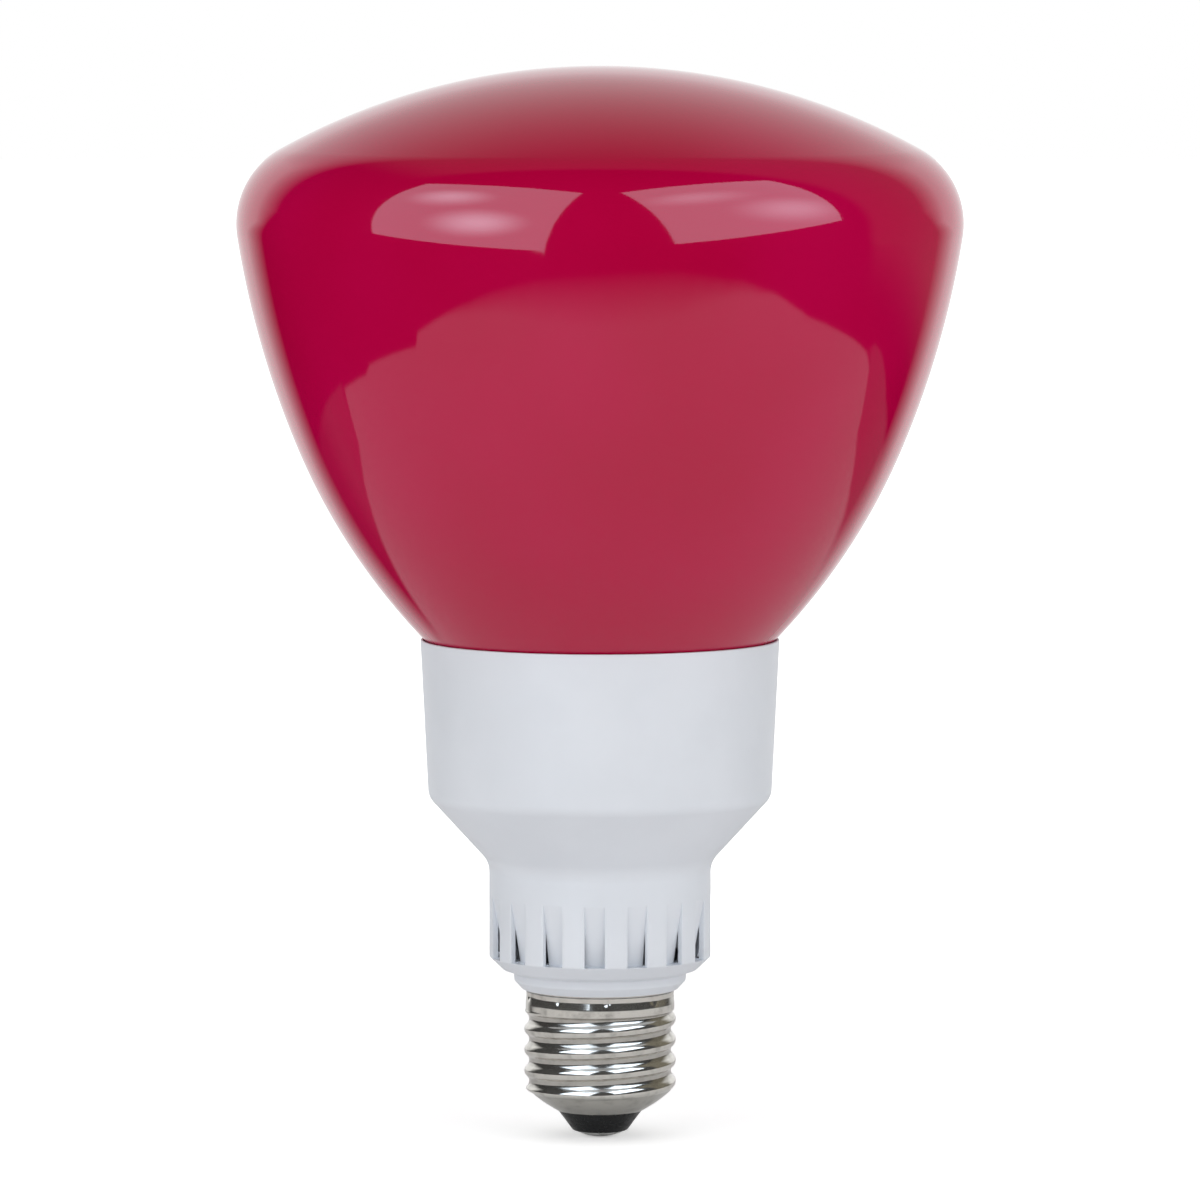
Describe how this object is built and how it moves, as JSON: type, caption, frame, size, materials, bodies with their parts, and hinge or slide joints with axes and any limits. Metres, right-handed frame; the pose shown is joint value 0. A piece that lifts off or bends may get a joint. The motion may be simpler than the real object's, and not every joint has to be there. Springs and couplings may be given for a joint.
{
  "type": "compact fluorescent reflector lamp",
  "caption": "Compact fluorescent reflector lamp: red glass reflector on a white ballast housing with a louvred vent collar and a medium screw base.",
  "frame": {"origin": "tip of the centre contact, on the lamp axis", "axes": "+Z along the lamp axis from the contact to the crown of the glass, -Y the front in the picture"},
  "size_m": [0.1246, 0.1246, 0.1847],
  "materials": {
    "red_glass": "blown glass, glossy red coat",
    "white_housing": "satin moulded plastic",
    "nickel_shell": "rolled brass sheet, nickel plated",
    "black_glass": "fused black glass",
    "tinned_contact": "dull solder",
    "cement": "matt cement",
    "white_tube": "phosphor-coated glass",
    "holder_plastic": "satin moulded plastic",
    "laminate": "paper laminate",
    "can_sleeve": "sleeved can",
    "ferrite": "sintered ferrite",
    "copper_wire": "enamelled wire",
    "black_package": "moulded epoxy",
    "film_dip": "dipped resin",
    "resistor_coat": "lacquer",
    "tinned_wire": "tinned",
    "black_sleeve": "insulated wire",
    "white_sleeve": "insulated wire"
  },
  "bodies": {
    "root": {"glass_reflector": "red_glass", "neck_cement": "cement", "ballast_housing": "white_housing", "screw_shell": "nickel_shell", "base_insulator": "black_glass", "centre_contact": "tinned_contact", "discharge_tube": "white_tube", "tube_holder": "holder_plastic", "circuit_board": "laminate", "filter_capacitor": "can_sleeve", "choke_core": "ferrite", "choke_coil": "copper_wire", "drive_toroid": "ferrite", "toroid_winding": "copper_wire", "fuse_resistor": "resistor_coat", "live_lead": "black_sleeve", "neutral_lead": "white_sleeve", "film_capacitor_1": "film_dip", "film_capacitor_2": "film_dip", "film_capacitor_3": "film_dip", "power_transistor_1": "black_package", "power_transistor_2": "black_package", "rectifier_diode_1": "black_package", "rectifier_diode_2": "black_package", "rectifier_diode_3": "black_package", "rectifier_diode_4": "black_package", "wire_post_1": "tinned_wire", "wire_post_2": "tinned_wire", "wire_post_3": "tinned_wire", "wire_post_4": "tinned_wire", "tube_lead_1": "tinned_wire", "tube_lead_2": "tinned_wire", "tube_lead_3": "tinned_wire", "tube_lead_4": "tinned_wire"}
  },
  "joints": []
}
